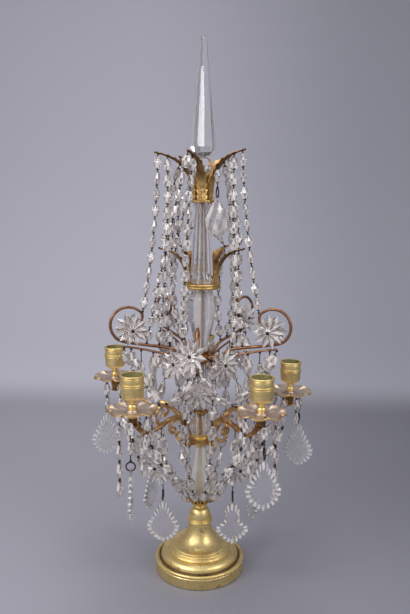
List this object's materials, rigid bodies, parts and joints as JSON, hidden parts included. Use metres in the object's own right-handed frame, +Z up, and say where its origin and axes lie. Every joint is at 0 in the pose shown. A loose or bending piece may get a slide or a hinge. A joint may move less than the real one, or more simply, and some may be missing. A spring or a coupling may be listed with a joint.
{
  "type": "girandole candle holder",
  "caption": "Brass girandole with scrolled candle arms, a glass stem and spire, leaf crowns and wire volutes, strung with cut almonds and hung with swinging plaques.",
  "frame": {"origin": "centre of the round foot, on the surface it stands on", "axes": "+Z up along the rod, -Y towards the front volute, +X to the right seen from the front"},
  "size_m": [0.2912, 0.2806, 0.653],
  "materials": {
    "brass": "aged, satin",
    "bronze": "dark bronze, worn gilt",
    "wire": "copper-brown, satin",
    "patina": "grey patina, gilt edges",
    "glass": "clear, cut",
    "pin": "dark wire"
  },
  "bodies": {
    "stand": {"foot_plinth": "brass", "bell_stem": "brass", "dome_knob": "brass", "foot_washer": "brass", "foot_nut": "brass", "centre_rod": "brass", "drip_bowl": "brass", "glass_pear": "glass", "arm_hub": "brass", "hub_ball": "glass", "hub_cap": "bronze", "mid_column": "glass", "branch_hub": "bronze", "glass_urn": "glass", "lower_crown_ring": "brass", "lower_crown_leaves": "bronze", "fluted_column": "glass", "upper_crown_ring": "brass", "upper_crown_leaves": "bronze", "spire_socket": "brass", "spire_ball": "glass", "spire": "glass", "arm_front_right": "brass", "arm_back_right": "brass", "arm_back": "brass", "arm_back_left": "brass", "arm_front_left": "brass", "cup_front_right": "brass", "cup_back_right": "brass", "cup_back": "brass", "cup_back_left": "brass", "cup_front_left": "brass", "drip_pans": "patina", "volute_front": "wire", "volute_right": "wire", "volute_rear_right": "wire", "volute_rear_left": "wire", "volute_left": "wire", "rosettes": "glass", "rosette_pins": "pin", "tent_almonds": "glass", "tent_pins": "pin", "swag_almonds": "glass", "swag_pins": "pin", "basket_almonds": "glass", "basket_pins": "pin", "plaque_rings": "pin"},
    "outer_plaque_front_right": {"outer_plaque_front_right": "glass"},
    "outer_plaque_back_right": {"outer_plaque_back_right": "glass"},
    "outer_plaque_back": {"outer_plaque_back": "glass"},
    "outer_plaque_back_left": {"outer_plaque_back_left": "glass"},
    "outer_plaque_front_left": {"outer_plaque_front_left": "glass"},
    "inner_plaque_front_right": {"inner_plaque_front_right": "glass"},
    "inner_plaque_back_right": {"inner_plaque_back_right": "glass"},
    "inner_plaque_back": {"inner_plaque_back": "glass"},
    "inner_plaque_back_left": {"inner_plaque_back_left": "glass"},
    "inner_plaque_front_left": {"inner_plaque_front_left": "glass"},
    "almond_drop": {"almond_drop": "glass"}
  },
  "joints": [
    {"name": "outer_front_right_swing", "type": "hinge", "parent": "stand", "child": "outer_plaque_front_right", "pos_m": [0.07369, -0.11034, 0.19274], "axis": [0.1392, -0.9903, 0], "range_deg": [-18, 18]},
    {"name": "outer_back_right_swing", "type": "hinge", "parent": "stand", "child": "outer_plaque_back_right", "pos_m": [0.12706, 0.04129, 0.18122], "axis": [-0.342, -0.9397, 0], "range_deg": [-18, 18]},
    {"name": "outer_back_swing", "type": "hinge", "parent": "stand", "child": "outer_plaque_back", "pos_m": [0, 0.1336, 0.19122], "axis": [0, 1, 0], "range_deg": [-18, 18]},
    {"name": "outer_back_left_swing", "type": "hinge", "parent": "stand", "child": "outer_plaque_back_left", "pos_m": [-0.12706, 0.04129, 0.19022], "axis": [0.4067, -0.9135, 0], "range_deg": [-18, 18]},
    {"name": "outer_front_left_swing", "type": "hinge", "parent": "stand", "child": "outer_plaque_front_left", "pos_m": [-0.07054, -0.11076, 0.17531], "axis": [0.9976, 0.0698, 0], "range_deg": [-18, 18]},
    {"name": "inner_front_right_swing", "type": "hinge", "parent": "stand", "child": "inner_plaque_front_right", "pos_m": [0.04115, -0.05663, 0.1166], "axis": [0.0698, -0.9976, 0], "range_deg": [-18, 18]},
    {"name": "inner_back_right_swing", "type": "hinge", "parent": "stand", "child": "inner_plaque_back_right", "pos_m": [0.06657, 0.02163, 0.10738], "axis": [0.9511, 0.309, 0], "range_deg": [-18, 18]},
    {"name": "inner_back_swing", "type": "hinge", "parent": "stand", "child": "inner_plaque_back", "pos_m": [0, 0.07, 0.1166], "axis": [0, 1, 0], "range_deg": [-18, 18]},
    {"name": "inner_back_left_swing", "type": "hinge", "parent": "stand", "child": "inner_plaque_back_left", "pos_m": [-0.06657, 0.02163, 0.1166], "axis": [-0.9511, 0.309, 0], "range_deg": [-18, 18]},
    {"name": "inner_front_left_swing", "type": "hinge", "parent": "stand", "child": "inner_plaque_front_left", "pos_m": [-0.04115, -0.05663, 0.1166], "axis": [-0.0349, -0.9994, 0], "range_deg": [-18, 18]},
    {"name": "almond_drop_swing", "type": "hinge", "parent": "stand", "child": "almond_drop", "pos_m": [0.01786, -0.01283, 0.47073], "axis": [0.309, -0.9511, 0], "range_deg": [-15, 15]}
  ]
}
